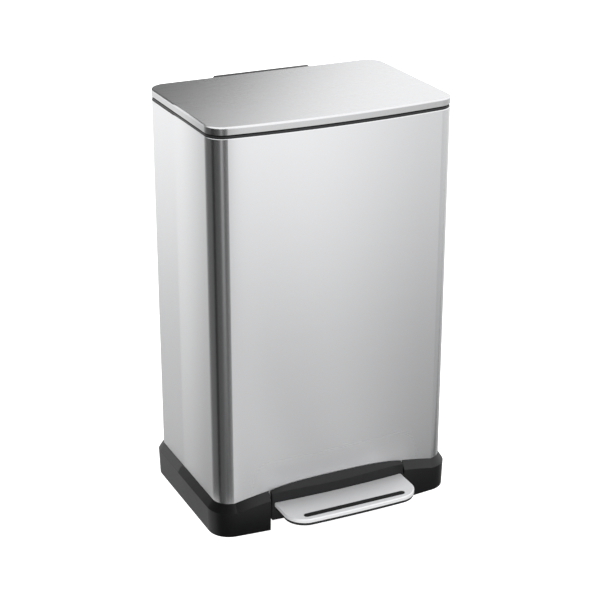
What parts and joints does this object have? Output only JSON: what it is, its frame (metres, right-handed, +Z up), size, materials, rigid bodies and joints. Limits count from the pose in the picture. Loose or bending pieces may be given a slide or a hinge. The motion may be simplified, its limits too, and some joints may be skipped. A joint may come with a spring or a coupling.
{
  "type": "pedal trash can",
  "caption": "Tall rectangular steel waste bin with a rear-hinged lid lifted by a wide foot pedal, on a flared black plinth, with a lift-out inner bucket.",
  "frame": {"origin": "on the floor, under the middle of the object's bounding box", "axes": "+Z up; the pedal and the front face -Y; +X is to the right of someone facing the pedal"},
  "size_m": [0.4174, 0.372, 0.663],
  "materials": {
    "steel_body": "satin brushed stainless sheet",
    "steel_lid": "satin brushed stainless sheet",
    "steel_tread": "brushed stainless with a rolled lip",
    "black_plastic": "fine matt black moulding",
    "pedal_plastic": "fine matt black moulding",
    "rim_plastic": "smooth black moulding",
    "bucket_plastic": "dark grey moulding",
    "black_rubber": "matt rubber",
    "plated_steel": "zinc plated",
    "nylon": "natural nylon",
    "cylinder_metal": "satin"
  },
  "bodies": {
    "body": {"body_shell": "steel_body", "top_rim_frame": "rim_plastic", "base_plinth": "black_plastic", "rubber_feet": "black_rubber", "hinge_mount": "plated_steel", "hinge_pin": "plated_steel", "mount_rivets": "plated_steel", "rear_housing": "black_plastic", "housing_screws": "plated_steel", "rod_guides": "nylon", "damper_cylinder": "cylinder_metal", "damper_saddles": "nylon", "channel_cover": "bucket_plastic", "pivot_pin": "plated_steel", "pivot_clips": "plated_steel", "stop_pads": "black_rubber"},
    "lid": {"lid_cover": "steel_lid", "lid_liner": "rim_plastic", "hinge_cover": "black_plastic", "lid_bracket": "plated_steel", "crank_pins": "plated_steel", "lid_screws": "plated_steel", "lid_bumpers": "black_rubber"},
    "pedal": {"pedal_shell": "pedal_plastic", "pedal_plate": "steel_tread", "pedal_insert": "black_rubber", "pedal_lever": "plated_steel", "lever_tip": "nylon", "tip_pin": "plated_steel", "pedal_screws": "plated_steel"},
    "lift_rod": {"push_rod": "plated_steel", "rod_foot": "nylon", "rod_eye": "plated_steel"},
    "damper_piston": {"damper_rod": "plated_steel", "damper_eye": "plated_steel"},
    "bucket": {"inner_bucket": "bucket_plastic"}
  },
  "joints": [
    {"name": "lid_hinge", "type": "hinge", "parent": "body", "child": "lid", "pos_m": [0, 0.171, 0.647], "axis": [-1, 0, 0], "range_deg": [0, 75]},
    {"name": "pedal_hinge", "type": "hinge", "parent": "body", "child": "pedal", "pos_m": [0, -0.028, 0.026], "axis": [1, 0, 0], "range_deg": [0, 7.75]},
    {"name": "rod_lift", "type": "slide", "parent": "body", "child": "lift_rod", "axis": [0, 0, 1], "range_m": [0, 0.02435]},
    {"name": "damper_slide", "type": "slide", "parent": "body", "child": "damper_piston", "axis": [0, 0, 1], "range_m": [0, 0.02435]},
    {"name": "bucket_lift", "type": "slide", "parent": "body", "child": "bucket", "axis": [0, 0, 1], "range_m": [0, 0.008]}
  ],
  "couplings": [
    {"joint": "pedal_hinge", "follows": "lid_hinge", "ratio": 0.10335},
    {"joint": "rod_lift", "follows": "lid_hinge", "m_per_rad": 0.018602},
    {"joint": "damper_slide", "follows": "lid_hinge", "m_per_rad": 0.018602}
  ]
}
